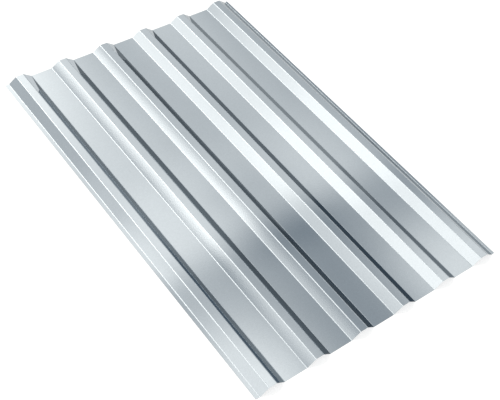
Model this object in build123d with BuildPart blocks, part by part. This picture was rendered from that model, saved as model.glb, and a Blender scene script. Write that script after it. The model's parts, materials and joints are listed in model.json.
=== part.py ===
"""Corrugated steel roofing sheet with trapezoidal ribs, roll-formed from one strip.

The sheet lies flat on its pans: X runs across the ribs, Y along them and +Z is up.
The origin is the middle of the sheet's footprint, on the surface that it lies on.
All sizes are in millimetres. Widths of flats are measured between the corners where two flats
would meet if they weren't rounded, on the middle line of the metal.
"""

import os

from build123d import *

# Driving dimensions
sheet_length = 1200.0
sheet_thickness = 0.5
rib_count = 6
rib_pitch = 137.5  # from the middle of one rib to the middle of the next
rib_height = 18.0  # from a pan to a crown, on the same side of the metal
crown_width = 22.5  # the flat top of a rib
flank_run = 24.5  # how far a rib's sloping side reaches sideways
fold_radius = 4.0  # to the middle line of the metal, the same at every fold
flat_lip_width = 11.0  # the level margin beside the first rib
raised_lip_width = 7.0  # the turned-up margin beside the last rib
raised_lip_rise = 3.0

# Sizes that follow from them
rib_width = crown_width + 2 * flank_run
ribbed_width = (rib_count - 1) * rib_pitch + rib_width
sheet_width = flat_lip_width + ribbed_width + raised_lip_width
pan_level = sheet_thickness / 2
crown_level = pan_level + rib_height
left_edge = -sheet_width / 2
right_edge = sheet_width / 2
first_foot = left_edge + flat_lip_width


def rib_corners(foot):
    """The corners of one rib, from the foot of its left flank to the foot of its right flank."""
    return [
        (foot, pan_level),
        (foot + flank_run, crown_level),
        (foot + flank_run + crown_width, crown_level),
        (foot + rib_width, pan_level),
    ]


# The strip's middle line, from the flat lip over every rib to the turned-up lip
middle_line = [(left_edge, pan_level)]
for rib in range(rib_count):
    middle_line += rib_corners(first_foot + rib * rib_pitch)
middle_line.append((right_edge, pan_level + raised_lip_rise))

with BuildPart() as corrugated_sheet:
    with BuildSketch(Plane.XZ):
        with BuildLine():
            FilletPolyline(*middle_line, radius=fold_radius)
        trace(line_width=sheet_thickness)
    extrude(amount=sheet_length / 2, both=True)

corrugated_sheet.part.label = "corrugated_sheet"

os.makedirs("parts", exist_ok=True)
export_step(corrugated_sheet.part, "parts/corrugated_sheet.step")
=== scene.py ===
"""Corrugated steel sheet: the formed sheet with its zinc coat, and the studio that shows it.

The file is laid out as an add-on and is run as a script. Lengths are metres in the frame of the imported
part: X runs across the ribs, Y along them, +Z is up, and the sheet lies on the floor at z = 0.
"""

import json
import math

import bmesh
import bpy
from bpy.props import FloatProperty, FloatVectorProperty, IntProperty, PointerProperty
from mathutils import Matrix, Vector


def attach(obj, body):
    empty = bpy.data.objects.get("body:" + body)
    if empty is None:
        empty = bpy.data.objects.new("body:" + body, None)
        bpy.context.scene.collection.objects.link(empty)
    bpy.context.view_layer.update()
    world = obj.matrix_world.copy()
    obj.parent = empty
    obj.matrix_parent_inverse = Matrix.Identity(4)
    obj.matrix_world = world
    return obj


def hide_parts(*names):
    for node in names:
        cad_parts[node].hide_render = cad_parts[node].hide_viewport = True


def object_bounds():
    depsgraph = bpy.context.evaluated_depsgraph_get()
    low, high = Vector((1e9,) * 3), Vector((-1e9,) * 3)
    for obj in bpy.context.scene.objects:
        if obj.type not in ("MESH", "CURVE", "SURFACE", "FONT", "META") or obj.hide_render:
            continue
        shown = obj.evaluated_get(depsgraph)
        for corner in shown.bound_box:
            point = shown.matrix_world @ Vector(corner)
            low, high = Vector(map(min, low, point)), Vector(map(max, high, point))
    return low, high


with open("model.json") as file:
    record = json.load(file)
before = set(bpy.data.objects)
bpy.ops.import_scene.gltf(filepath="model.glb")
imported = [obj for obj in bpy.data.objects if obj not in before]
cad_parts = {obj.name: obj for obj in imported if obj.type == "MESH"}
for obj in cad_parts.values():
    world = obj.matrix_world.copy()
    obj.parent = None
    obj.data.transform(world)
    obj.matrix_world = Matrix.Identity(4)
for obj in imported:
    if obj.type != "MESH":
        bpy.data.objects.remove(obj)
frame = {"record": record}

bl_info = {
    "name": "Corrugated Sheet",
    "version": (1, 0, 0),
    "blender": (4, 5, 0),
    "location": "View3D > Sidebar > Sheet",
    "description": "Forms a ribbed zinc-coated steel sheet and sets the studio that shows it",
    "category": "Object",
}

SHEET_NODE = "corrugated_sheet"
CAD_LOW, CAD_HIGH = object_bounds()

# What the frame says about the profile: the crowns' middles, and both faces of the last crown
MOUNT_AT = {mount["name"]: Vector(mount["pos_m"]) for mount in frame["record"]["mounts"]}
CROWN_MIDDLES = sorted(at.x for name, at in MOUNT_AT.items() if name.startswith("crown_"))
CROWN_UNDERSIDE = MOUNT_AT["lap_underside"].z
METAL = CAD_HIGH.z - CROWN_UNDERSIDE

# How the strip is formed
FOLD_TOLERANCE = math.radians(1.0)  # by how much the angles of like folds may differ
ROUND_PROFILE = 0.5  # the bevel's profile that is an arc of a circle
MERGE_DISTANCE = 1e-6
SMOOTH_ANGLE = math.radians(30.0)  # sharper edges than this stay sharp
FLAT_WEIGHT = 100  # the wide flats set the normals beside a fold

# Material slots of the folds and of the cut edges; the flats have the first one
FOLD_SLOT = 1
EDGE_SLOT = 2

# Textures of the zinc coat and of the cut edges: repeats per metre along X, Y and Z, and fine detail
STREAK_SCALE = (400.0, 1.5, 400.0)
STREAK_DETAIL = 3.0
CLOUD_SCALE = (9.0, 9.0, 9.0)
CLOUD_DETAIL = 4.0
SHEAR_SCALE = (900.0, 900.0, 60.0)
SHEAR_DETAIL = 2.0
# The share by which each of them makes the tone lighter and darker
CRYSTAL_TONE = 0.03
STREAK_TONE = 0.015
CLOUD_TONE = 0.03
SHEAR_TONE = 0.25
# The share by which the roughness of the coat varies
FLAT_UNEVENNESS = 0.25
FOLD_UNEVENNESS = 0.04


class SheetSizes(bpy.types.PropertyGroup):
    """Sizes of the formed sheet. Widths of flats run between corners, before the folds round them."""

    length: FloatProperty(
        name="Length", description="Length of the sheet along its ribs",
        default=CAD_HIGH.y - CAD_LOW.y, min=0.1, unit="LENGTH")
    thickness: FloatProperty(
        name="Thickness", description="Thickness of the metal",
        default=METAL, min=0.0001, unit="LENGTH")
    rib_count: IntProperty(
        name="Ribs", description="Number of ribs", default=len(CROWN_MIDDLES), min=1)
    rib_pitch: FloatProperty(
        name="Rib pitch", description="From the middle of one rib to the middle of the next",
        default=CROWN_MIDDLES[1] - CROWN_MIDDLES[0], min=0.01, unit="LENGTH")
    first_crown: FloatProperty(
        name="First crown", description="Where the middle of the first rib lies across the sheet",
        default=CROWN_MIDDLES[0], unit="LENGTH")
    rib_height: FloatProperty(
        name="Rib height", description="From a pan to a crown, on the same side of the metal",
        default=CROWN_UNDERSIDE, min=0.001, unit="LENGTH")
    crown_width: FloatProperty(
        name="Crown width", description="Width of a rib's flat top",
        default=0.0225, min=0.001, unit="LENGTH")
    flank_run: FloatProperty(
        name="Flank run", description="How far a rib's sloping side reaches sideways",
        default=0.0245, min=0.001, unit="LENGTH")
    fold_radius: FloatProperty(
        name="Fold radius", description="Radius of every fold, to the middle of the metal",
        default=0.004, min=0.0005, unit="LENGTH")
    fold_steps: IntProperty(
        name="Fold steps", description="Number of narrow faces round one fold", default=8, min=2)
    raised_lip_width: FloatProperty(
        name="Raised lip width", description="Width of the turned-up margin beside the last rib",
        default=0.007, min=0.001, unit="LENGTH")
    raised_lip_rise: FloatProperty(
        name="Raised lip rise", description="How far the edge of the turned-up margin stands above the pans",
        default=0.003, min=0.0, unit="LENGTH")


class ZincFinish(bpy.types.PropertyGroup):
    """Colours and texture sizes of the zinc coat and of the cut edges."""

    zinc_colour: FloatVectorProperty(
        name="Zinc", description="Colour that the zinc coat mirrors with",
        default=(0.538, 0.588, 0.63), size=3, min=0.0, max=1.0, subtype="COLOR")
    zinc_roughness: FloatProperty(
        name="Roughness", description="Mean roughness of the zinc coat",
        default=0.03, min=0.0, max=1.0, subtype="FACTOR")
    fold_roughness: FloatProperty(
        name="Fold roughness", description="Roughness of the zinc coat where folding has frosted it",
        default=0.5, min=0.0, max=1.0, subtype="FACTOR")
    grain_size: FloatProperty(
        name="Grain size", description="Width of the zinc coat's fine crystals",
        default=0.0025, min=0.0002, unit="LENGTH")
    grain_relief: FloatProperty(
        name="Grain relief", description="How far the fine crystals stand up",
        default=0.000006, min=0.0, precision=6, unit="LENGTH")
    zinc_glance: FloatProperty(
        name="Glance", description="How much of that colour is left where the coat is seen at a glance",
        default=0.62, min=0.0, max=1.0, subtype="FACTOR")
    edge_colour: FloatVectorProperty(
        name="Cut edge", description="Colour of the bare steel on the sheared edges",
        default=(0.42, 0.42, 0.42), size=3, min=0.0, max=1.0, subtype="COLOR")
    edge_roughness: FloatProperty(
        name="Edge roughness", description="Roughness of the sheared edges",
        default=0.45, min=0.0, max=1.0, subtype="FACTOR")


class StudioSetting(bpy.types.PropertyGroup):
    """Camera, floor and light of the studio."""

    aim: FloatVectorProperty(
        name="Aim", description="Point on the floor that the camera looks at",
        default=(-0.0467, -0.1151, 0.0), size=3, subtype="XYZ", unit="LENGTH")
    distance: FloatProperty(
        name="Distance", description="From the aim to the camera", default=2.5595, min=0.1, unit="LENGTH")
    azimuth: FloatProperty(
        name="Azimuth", description="Turn of the camera about the aim, from looking along +Y",
        default=math.radians(-42.77), unit="ROTATION")
    elevation: FloatProperty(
        name="Elevation", description="Height of the camera above the horizon",
        default=math.radians(48.76), unit="ROTATION")
    roll: FloatProperty(
        name="Roll", description="Turn of the camera about its own line of sight",
        default=math.radians(8.37), unit="ROTATION")
    lens: FloatProperty(
        name="Lens", description="Focal length in millimetres", default=69.6, min=1.0)
    floor_width: FloatProperty(
        name="Floor width", description="Width of the floor", default=30.0, min=1.0, unit="LENGTH")
    floor_colour: FloatVectorProperty(
        name="Floor", description="Colour of the floor",
        default=(0.5, 0.5, 0.5), size=3, min=0.0, max=1.0, subtype="COLOR")
    floor_glow: FloatProperty(
        name="Floor glow", description="White that the camera and mirrors see added to the floor",
        default=0.6, min=0.0, max=1.0, subtype="FACTOR")
    room_colour: FloatVectorProperty(
        name="Room", description="Colour of the dim room between its light panels",
        default=(0.43, 0.465, 0.492), size=3, min=0.0, max=1.0, subtype="COLOR")
    panel_colour: FloatVectorProperty(
        name="Panels", description="Colour of the light panels and of the spot",
        default=(1.0, 0.94, 0.86), size=3, min=0.0, max=1.0, subtype="COLOR")
    spot_place: FloatVectorProperty(
        name="Spot", description="Which way the distant spot that lights up the folds stands from the sheet",
        default=(-0.27, 0.73, 1.0), size=3, subtype="XYZ")
    spot_strength: FloatProperty(
        name="Spot strength", description="Strength of the distant spot", default=1.15, min=0.0)
    spot_width: FloatProperty(
        name="Spot width", description="Angle across the distant spot, as the sheet sees it",
        default=math.radians(2.0), min=0.0, unit="ROTATION")


# The room's light. A place in the room is given by how far it lies across the ribs and along them, divided by
# its height above the sheet. An edge fades from one place to another, and None leaves that side open.
# A level below zero is a dark flag, which takes light away.

# Rows of panels along the ribs, the same before and behind the sheet: where each row starts and ends.
# The sheet mirrors the gap between the front and the back row as a dark band.
PANEL_ROWS = {
    "whole": (None, None),
    "ceiling": (None, (0.10, 0.30)),
    "side": (None, (-1.20, -0.30)),
    "end": ((1.35, 1.80), None),
    "corner": ((1.75, 2.20), None),
    "back": ((0.55, 0.64), (1.90, 2.40)),
    "far back": ((0.75, 1.10), (1.35, 1.80)),
    "back edge": ((0.56, 0.63), (0.67, 0.80)),
    "slow edge": ((0.68, 0.76), (0.82, 0.95)),
    "gap": ((0.51, 0.60), (0.66, 0.74)),
    "gap edge": ((0.50, 0.555), (0.56, 0.64)),
    "gap side": ((0.08, 0.32), (0.38, 0.48)),
    "front": (None, (0.40, 0.55)),
}
# Each panel: its level, its left edge, its right edge and its row
LIGHT_PANELS = [
    (0.40, (-1.50, -1.25), (-1.15, -1.06), "whole"),
    (0.72, (-1.06, -1.00), (-0.95, -0.89), "whole"),
    (0.65, (-0.88, -0.84), (-0.58, -0.45), "whole"),
    (0.40, (-0.80, -0.77), (-0.58, -0.45), "whole"),
    (0.35, (-0.58, -0.45), (-0.25, -0.10), "whole"),
    (-0.20, (-0.10, 0.05), (0.25, 0.36), "whole"),
    (0.34, (0.34, 0.44), (0.44, 0.64), "whole"),
    (0.16, (0.62, 0.75), (0.76, 0.90), "whole"),
    (0.30, (1.20, 1.80), (2.95, 3.15), "whole"),
    (-0.25, (3.00, 3.20), None, "whole"),
    (0.50, (-0.15, 0.00), (0.30, 0.42), "ceiling"),
    (-0.45, (-0.88, -0.80), (-0.60, -0.45), "ceiling"),
    (-0.25, (0.36, 0.46), (0.78, 0.95), "ceiling"),
    (0.50, None, (-2.20, -1.50), "whole"),
    (0.35, None, (-2.20, -1.50), "side"),
    (0.85, (1.60, 2.40), None, "side"),
    (0.40, (-2.20, -1.50), (-1.20, -1.00), "end"),
    (0.60, (-0.30, -0.05), (1.00, 1.30), "end"),
    (0.40, (1.00, 1.60), None, "corner"),
    (0.15, (-1.10, -1.05), (-0.86, -0.80), "back"),
    (0.72, (-1.06, -1.00), (-0.95, -0.89), "back"),
    (0.42, (-0.88, -0.84), (-0.80, -0.76), "back"),
    (0.38, (-0.10, 0.20), None, "back"),
    (-0.20, (0.64, 0.80), (1.10, 1.50), "back"),
    (-0.10, (-1.60, -1.30), (-1.12, -1.06), "far back"),
    (-0.60, (-0.72, -0.69), (-0.62, -0.52), "far back"),
    (0.72, (0.20, 0.36), (0.38, 0.58), "far back"),
    (0.15, (0.60, 0.66), (0.72, 0.80), "far back"),
    (0.32, (-1.60, -1.30), (-1.18, -1.08), "back edge"),
    (0.20, (-1.60, -1.30), (-0.97, -0.90), "back edge"),
    (0.26, (-0.86, -0.80), (-0.58, -0.45), "back edge"),
    (0.15, (0.20, 0.40), (0.74, 0.84), "back edge"),
    (0.14, (-1.60, -1.30), (-1.12, -1.06), "slow edge"),
    (-0.16, (0.50, 0.58), (0.62, 0.70), "gap"),
    (0.26, (-0.81, -0.77), (-0.58, -0.45), "gap edge"),
    (-0.24, (2.00, 2.40), (3.00, 3.20), "gap side"),
    (0.45, (-2.00, -1.40), (-1.12, -0.95), "front"),
    (0.15, (-0.86, -0.80), (-0.58, -0.45), "front"),
    (0.80, (0.38, 0.44), (0.40, 0.56), "front"),
    (0.60, (0.60, 0.77), (0.78, 1.00), "front"),
]
# Soft boxes, which hang before or behind the sheet and not on both sides. Each box: its level, its edges
# across the ribs and its edges along them.
SOFT_BOXES = [
    (0.90, ((-0.35, -0.15), (0.25, 0.45)), ((-1.60, -1.25), (-0.55, -0.30))),
    (0.36, ((-0.34, -0.22), (-0.04, 0.06)), ((0.12, 0.24), (0.34, 0.42))),
]
# The rows run straight over the middle of the room and bow outwards beyond it
ROOM_MIDDLE = 0.07
STRAIGHT_REACH = 0.73
ROW_BOW = 0.45
LOWEST_HEIGHT = 0.05  # places closer to the horizon than this count as this high


def add_node(tree, kind, **settings):
    """Add a shader node and set its options."""
    node = tree.nodes.new(kind)
    for name, value in settings.items():
        setattr(node, name, value)
    return node


def feed(tree, socket, value):
    """Give a socket a number or colour, or link another node's output to it."""
    if isinstance(value, bpy.types.NodeSocket):
        tree.links.new(value, socket)
    else:
        socket.default_value = value


def calculate(tree, operation, *values):
    """Add a Math node and return its result."""
    node = add_node(tree, "ShaderNodeMath", operation=operation)
    for socket, value in zip(node.inputs, values):
        feed(tree, socket, value)
    return node.outputs["Value"]


def ease(tree, value, start, end):
    """A smooth step from 0 at start to 1 at end."""
    node = add_node(tree, "ShaderNodeMapRange", interpolation_type="SMOOTHSTEP")
    feed(tree, node.inputs["Value"], value)
    feed(tree, node.inputs["From Min"], start)
    feed(tree, node.inputs["From Max"], end)
    return node.outputs["Result"]


def vary(tree, texture, mean, share):
    """Map a texture's 0 to 1 onto the mean less and plus a share of it."""
    node = add_node(tree, "ShaderNodeMapRange")
    feed(tree, node.inputs["Value"], texture)
    feed(tree, node.inputs["To Min"], mean * (1.0 - share))
    feed(tree, node.inputs["To Max"], mean * (1.0 + share))
    return node.outputs["Result"]


def shade(tree, colour, tone):
    """A colour times a tone."""
    node = add_node(tree, "ShaderNodeVectorMath", operation="SCALE")
    feed(tree, node.inputs["Vector"], tuple(colour))
    feed(tree, node.inputs["Scale"], tone)
    return node.outputs["Vector"]


def surface_place(tree, scale):
    """Object coordinates, scaled."""
    place = add_node(tree, "ShaderNodeTexCoord").outputs["Object"]
    mapping = add_node(tree, "ShaderNodeMapping")
    feed(tree, mapping.inputs["Vector"], place)
    feed(tree, mapping.inputs["Scale"], scale)
    return mapping.outputs["Vector"]


def noise(tree, scale, detail):
    """A noise texture over the surface, from 0 to 1."""
    node = add_node(tree, "ShaderNodeTexNoise")
    feed(tree, node.inputs["Vector"], surface_place(tree, scale))
    feed(tree, node.inputs["Scale"], 1.0)
    feed(tree, node.inputs["Detail"], detail)
    return node.outputs["Fac"]


def new_metal(name):
    """A material whose tree holds only an output and a Principled shader, set to metal."""
    material = bpy.data.materials.new(name)
    material.use_nodes = True
    tree = material.node_tree
    tree.nodes.clear()
    shader = add_node(tree, "ShaderNodeBsdfPrincipled")
    feed(tree, shader.inputs["Metallic"], 1.0)
    output = add_node(tree, "ShaderNodeOutputMaterial")
    tree.links.new(shader.outputs["BSDF"], output.inputs["Surface"])
    return material, tree, shader


def zinc_coat(name, finish, mean_roughness, unevenness):
    """Smooth hot-dip zinc: fine crystals, faint rolling streaks along the sheet and slow clouds of tone."""
    material, tree, shader = new_metal(name)
    crystals = add_node(tree, "ShaderNodeTexVoronoi", feature="F1")
    feed(tree, crystals.inputs["Vector"], surface_place(tree, (1.0, 1.0, 1.0)))
    feed(tree, crystals.inputs["Scale"], 1.0 / finish.grain_size)
    crystal_shade = add_node(tree, "ShaderNodeSeparateColor")
    feed(tree, crystal_shade.inputs["Color"], crystals.outputs["Color"])
    streaks = noise(tree, STREAK_SCALE, STREAK_DETAIL)
    clouds = noise(tree, CLOUD_SCALE, CLOUD_DETAIL)

    tone = calculate(
        tree, "MULTIPLY",
        vary(tree, crystal_shade.outputs["Red"], 1.0, CRYSTAL_TONE),
        calculate(
            tree, "MULTIPLY",
            vary(tree, streaks, 1.0, STREAK_TONE),
            vary(tree, clouds, 1.0, CLOUD_TONE)))
    feed(tree, shader.inputs["Base Color"], shade(tree, finish.zinc_colour, tone))

    roughness = calculate(
        tree, "MULTIPLY",
        vary(tree, crystal_shade.outputs["Green"], 1.0, unevenness / 2),
        vary(tree, streaks, mean_roughness, unevenness))
    feed(tree, shader.inputs["Roughness"], roughness)

    relief = add_node(tree, "ShaderNodeBump")
    feed(tree, relief.inputs["Height"], crystals.outputs["Distance"])
    feed(tree, relief.inputs["Distance"], finish.grain_relief)
    feed(tree, shader.inputs["Normal"], relief.outputs["Normal"])
    glance = finish.zinc_glance
    feed(tree, shader.inputs["Specular Tint"], (glance, glance, glance, 1.0))
    return material


def cut_edge(finish):
    """Bare sheared steel, with the fine upright lines of the cut."""
    material, tree, shader = new_metal("cut_edge")
    tone = vary(tree, noise(tree, SHEAR_SCALE, SHEAR_DETAIL), 1.0, SHEAR_TONE)
    feed(tree, shader.inputs["Base Color"], shade(tree, finish.edge_colour, tone))
    feed(tree, shader.inputs["Roughness"], finish.edge_roughness)
    return material


def apply_modifier(piece, kind, **settings):
    """Add a modifier to the piece and apply it."""
    modifier = piece.modifiers.new(kind.lower(), kind)
    for name, value in settings.items():
        setattr(modifier, name, value)
    bpy.ops.object.modifier_apply(modifier=modifier.name)


def rib_steps(sizes):
    """How far the strip goes, across and up, over one rib: left flank, crown and right flank."""
    return [
        (sizes.flank_run, sizes.rib_height),
        (sizes.crown_width, 0.0),
        (sizes.flank_run, -sizes.rib_height),
    ]


def strip_steps(sizes):
    """How far the strip goes, across and up, from the flat lip's fold to the edge of the raised lip."""
    rib_width = sizes.crown_width + 2 * sizes.flank_run
    pan = (sizes.rib_pitch - rib_width, 0.0)
    steps = rib_steps(sizes)
    for _ in range(sizes.rib_count - 1):
        steps += [pan, *rib_steps(sizes)]
    return steps + [(sizes.raised_lip_width, sizes.raised_lip_rise)]


def round_folds(strip, turn, sizes):
    """Round the folds that turn the strip by this angle."""
    mesh = bmesh.from_edit_mesh(strip.data)
    bpy.ops.mesh.select_all(action="DESELECT")
    for edge in mesh.edges:
        if len(edge.link_faces) == 2 and abs(edge.calc_face_angle() - turn) < FOLD_TOLERANCE:
            edge.select = True
    bmesh.update_edit_mesh(strip.data)
    bpy.ops.mesh.bevel(
        offset_type="OFFSET", offset=sizes.fold_radius * math.tan(turn / 2),
        segments=sizes.fold_steps, profile=ROUND_PROFILE, affect="EDGES", clamp_overlap=False,
        material=FOLD_SLOT)


def form_strip(sizes, coats):
    """Draw the sheet's middle surface: the flat lip first, then each flat from the last one's edge."""
    left = CAD_LOW.x
    first_foot = sizes.first_crown - sizes.crown_width / 2 - sizes.flank_run
    lip_width = first_foot - left
    bpy.ops.object.select_all(action="DESELECT")
    bpy.ops.mesh.primitive_plane_add(size=1.0, location=((left + first_foot) / 2, 0.0, sizes.thickness / 2))
    strip = bpy.context.object
    strip.name = "galvanised_sheet"
    strip.scale = (lip_width, sizes.length, 1.0)
    bpy.ops.object.transform_apply(location=True, rotation=True, scale=True)
    # The bevel gives the folds their own coat only if the strip already has it
    for coat in coats:
        strip.data.materials.append(coat)

    bpy.ops.object.mode_set(mode="EDIT")
    bpy.ops.mesh.select_mode(type="EDGE")
    bpy.ops.mesh.select_all(action="DESELECT")
    mesh = bmesh.from_edit_mesh(strip.data)
    max(mesh.edges, key=lambda edge: sum(corner.co.x for corner in edge.verts)).select = True
    bmesh.update_edit_mesh(strip.data)
    for across, up in strip_steps(sizes):
        bpy.ops.mesh.extrude_region_move(TRANSFORM_OT_translate={"value": (across, 0.0, up)})

    flank_slope = math.atan2(sizes.rib_height, sizes.flank_run)
    lip_slope = math.atan2(sizes.raised_lip_rise, sizes.raised_lip_width)
    round_folds(strip, flank_slope, sizes)
    round_folds(strip, flank_slope + lip_slope, sizes)
    bpy.ops.mesh.select_all(action="SELECT")
    bpy.ops.mesh.remove_doubles(threshold=MERGE_DISTANCE)
    bpy.ops.mesh.normals_make_consistent(inside=False)
    bpy.ops.object.mode_set(mode="OBJECT")
    return strip


class SHEET_OT_form(bpy.types.Operator):
    """Form the sheet from one strip, give it its thickness and coat it with zinc"""

    bl_idname = "sheet.form"
    bl_label = "Form the sheet"

    def execute(self, context):
        sizes = context.scene.sheet_sizes
        finish = context.scene.zinc_finish
        coats = [
            zinc_coat("zinc_coat", finish, finish.zinc_roughness, FLAT_UNEVENNESS),
            zinc_coat("zinc_fold", finish, finish.fold_roughness, FOLD_UNEVENNESS),
            cut_edge(finish),
        ]
        sheet = form_strip(sizes, coats)
        # The rim's slot is counted from each face's own one, and stops at the last slot
        apply_modifier(
            sheet, "SOLIDIFY", thickness=sizes.thickness, offset=0.0, use_even_offset=True,
            material_offset_rim=EDGE_SLOT)
        bpy.ops.object.shade_smooth_by_angle(angle=SMOOTH_ANGLE)
        apply_modifier(sheet, "WEIGHTED_NORMAL", mode="FACE_AREA", weight=FLAT_WEIGHT, keep_sharp=True)
        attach(sheet, "root")
        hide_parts(SHEET_NODE)
        return {"FINISHED"}


def lay_floor(setting):
    """A white floor that the camera and mirrors see brightened, and that keeps the sheet's shadow."""
    bpy.ops.object.select_all(action="DESELECT")
    bpy.ops.mesh.primitive_plane_add(size=setting.floor_width, location=(0.0, 0.0, 0.0))
    floor = bpy.context.object
    floor.name = "studio_floor"
    material = bpy.data.materials.new("studio_floor")
    material.use_nodes = True
    tree = material.node_tree
    tree.nodes.clear()
    matt = add_node(tree, "ShaderNodeBsdfDiffuse")
    feed(tree, matt.inputs["Color"], (*setting.floor_colour, 1.0))
    rays = add_node(tree, "ShaderNodeLightPath")
    seen = calculate(
        tree, "MAXIMUM", rays.outputs["Is Camera Ray"],
        calculate(tree, "MAXIMUM", rays.outputs["Is Glossy Ray"], rays.outputs["Is Transmission Ray"]))
    glow = add_node(tree, "ShaderNodeEmission")
    feed(tree, glow.inputs["Strength"], calculate(tree, "MULTIPLY", seen, setting.floor_glow))
    both = add_node(tree, "ShaderNodeAddShader")
    tree.links.new(matt.outputs["BSDF"], both.inputs[0])
    tree.links.new(glow.outputs["Emission"], both.inputs[1])
    output = add_node(tree, "ShaderNodeOutputMaterial")
    tree.links.new(both.outputs["Shader"], output.inputs["Surface"])
    floor.data.materials.append(material)


def light_between(tree, light, place, edges):
    """Limit a light to the places between a rising edge and a falling edge, where it has them."""
    rise, fall = edges
    if rise:
        light = calculate(tree, "MULTIPLY", light, ease(tree, place, *rise))
    if fall:
        light = calculate(tree, "MULTIPLY", light, ease(tree, place, fall[1], fall[0]))
    return light


def light_room(context, setting):
    """A grey room with soft light panels, as the world's own light."""
    world = bpy.data.worlds.new("studio_room")
    context.scene.world = world
    # The panels are wide and soft. Aiming rays at them takes rays from the spot and makes the folds grainy.
    world.cycles.sampling_method = "NONE"
    world.use_nodes = True
    tree = world.node_tree
    tree.nodes.clear()
    direction = add_node(tree, "ShaderNodeSeparateXYZ")
    feed(tree, direction.inputs["Vector"], add_node(tree, "ShaderNodeTexCoord").outputs["Generated"])
    height = calculate(tree, "MAXIMUM", direction.outputs["Z"], LOWEST_HEIGHT)
    across = calculate(tree, "DIVIDE", direction.outputs["X"], height)
    ahead = calculate(tree, "DIVIDE", direction.outputs["Y"], height)

    aside = calculate(tree, "ABSOLUTE", calculate(tree, "SUBTRACT", across, ROOM_MIDDLE))
    aside = calculate(tree, "MAXIMUM", calculate(tree, "SUBTRACT", aside, STRAIGHT_REACH), 0.0)
    along = calculate(tree, "MULTIPLY_ADD", aside, -ROW_BOW, calculate(tree, "ABSOLUTE", ahead))

    light = 0.0
    for level, sides, ends in SOFT_BOXES:
        box = light_between(tree, level, across, sides)
        box = light_between(tree, box, ahead, ends)
        light = calculate(tree, "ADD", light, box)
    for level, left, right, row in LIGHT_PANELS:
        panel = light_between(tree, level, across, (left, right))
        panel = light_between(tree, panel, along, PANEL_ROWS[row])
        light = calculate(tree, "ADD", light, panel)
    panels = add_node(tree, "ShaderNodeBackground")
    feed(tree, panels.inputs["Color"], (*setting.panel_colour, 1.0))
    feed(tree, panels.inputs["Strength"], light)
    room = add_node(tree, "ShaderNodeBackground")
    feed(tree, room.inputs["Color"], (*setting.room_colour, 1.0))
    both = add_node(tree, "ShaderNodeAddShader")
    tree.links.new(panels.outputs["Background"], both.inputs[0])
    tree.links.new(room.outputs["Background"], both.inputs[1])
    output = add_node(tree, "ShaderNodeOutputWorld")
    tree.links.new(both.outputs["Shader"], output.inputs["Surface"])


def hang_spot(setting):
    """A small distant lamp, whose light runs along the frosted folds."""
    bpy.ops.object.light_add(type="SUN")
    spot = bpy.context.object
    spot.name = "studio_spot"
    spot.rotation_euler = Vector(setting.spot_place).to_track_quat("Z", "Y").to_euler()
    spot.data.energy = setting.spot_strength
    spot.data.angle = setting.spot_width
    spot.data.color = setting.panel_colour


def place_camera(context, setting):
    """The camera stands back from its aim, turned and rolled as set."""
    turn = (
        Matrix.Rotation(setting.azimuth, 4, "Z")
        @ Matrix.Rotation(math.pi / 2 - setting.elevation, 4, "X")
        @ Matrix.Rotation(setting.roll, 4, "Z")
    )
    stand = Vector(setting.aim) + turn @ Vector((0.0, 0.0, setting.distance))
    bpy.ops.object.camera_add()
    camera = bpy.context.object
    camera.name = "studio_camera"
    camera.matrix_world = Matrix.Translation(stand) @ turn
    camera.data.lens = setting.lens
    context.scene.camera = camera


class SHEET_OT_stage(bpy.types.Operator):
    """Lay the floor, light the room, hang the spot and place the camera"""

    bl_idname = "sheet.stage"
    bl_label = "Set the studio"

    def execute(self, context):
        setting = context.scene.studio_setting
        lay_floor(setting)
        light_room(context, setting)
        hang_spot(setting)
        place_camera(context, setting)
        context.scene.view_settings.view_transform = "Standard"
        return {"FINISHED"}


class SHEET_PT_panel(bpy.types.Panel):
    """Steps and settings of the corrugated sheet"""

    bl_idname = "SHEET_PT_panel"
    bl_label = "Corrugated sheet"
    bl_space_type = "VIEW_3D"
    bl_region_type = "UI"
    bl_category = "Sheet"

    def draw(self, context):
        layout = self.layout
        layout.operator(SHEET_OT_form.bl_idname)
        layout.operator(SHEET_OT_stage.bl_idname)
        for settings in ("sheet_sizes", "zinc_finish", "studio_setting"):
            group = getattr(context.scene, settings)
            box = layout.box()
            for name in group.__annotations__:
                box.prop(group, name)


CLASSES = (SheetSizes, ZincFinish, StudioSetting, SHEET_OT_form, SHEET_OT_stage, SHEET_PT_panel)


def register():
    for entry in CLASSES:
        bpy.utils.register_class(entry)
    bpy.types.Scene.sheet_sizes = PointerProperty(type=SheetSizes)
    bpy.types.Scene.zinc_finish = PointerProperty(type=ZincFinish)
    bpy.types.Scene.studio_setting = PointerProperty(type=StudioSetting)


def unregister():
    del bpy.types.Scene.studio_setting
    del bpy.types.Scene.zinc_finish
    del bpy.types.Scene.sheet_sizes
    for entry in reversed(CLASSES):
        bpy.utils.unregister_class(entry)


def main():
    register()
    bpy.ops.sheet.form()
    bpy.ops.sheet.stage()


if __name__ == "__main__":
    main()
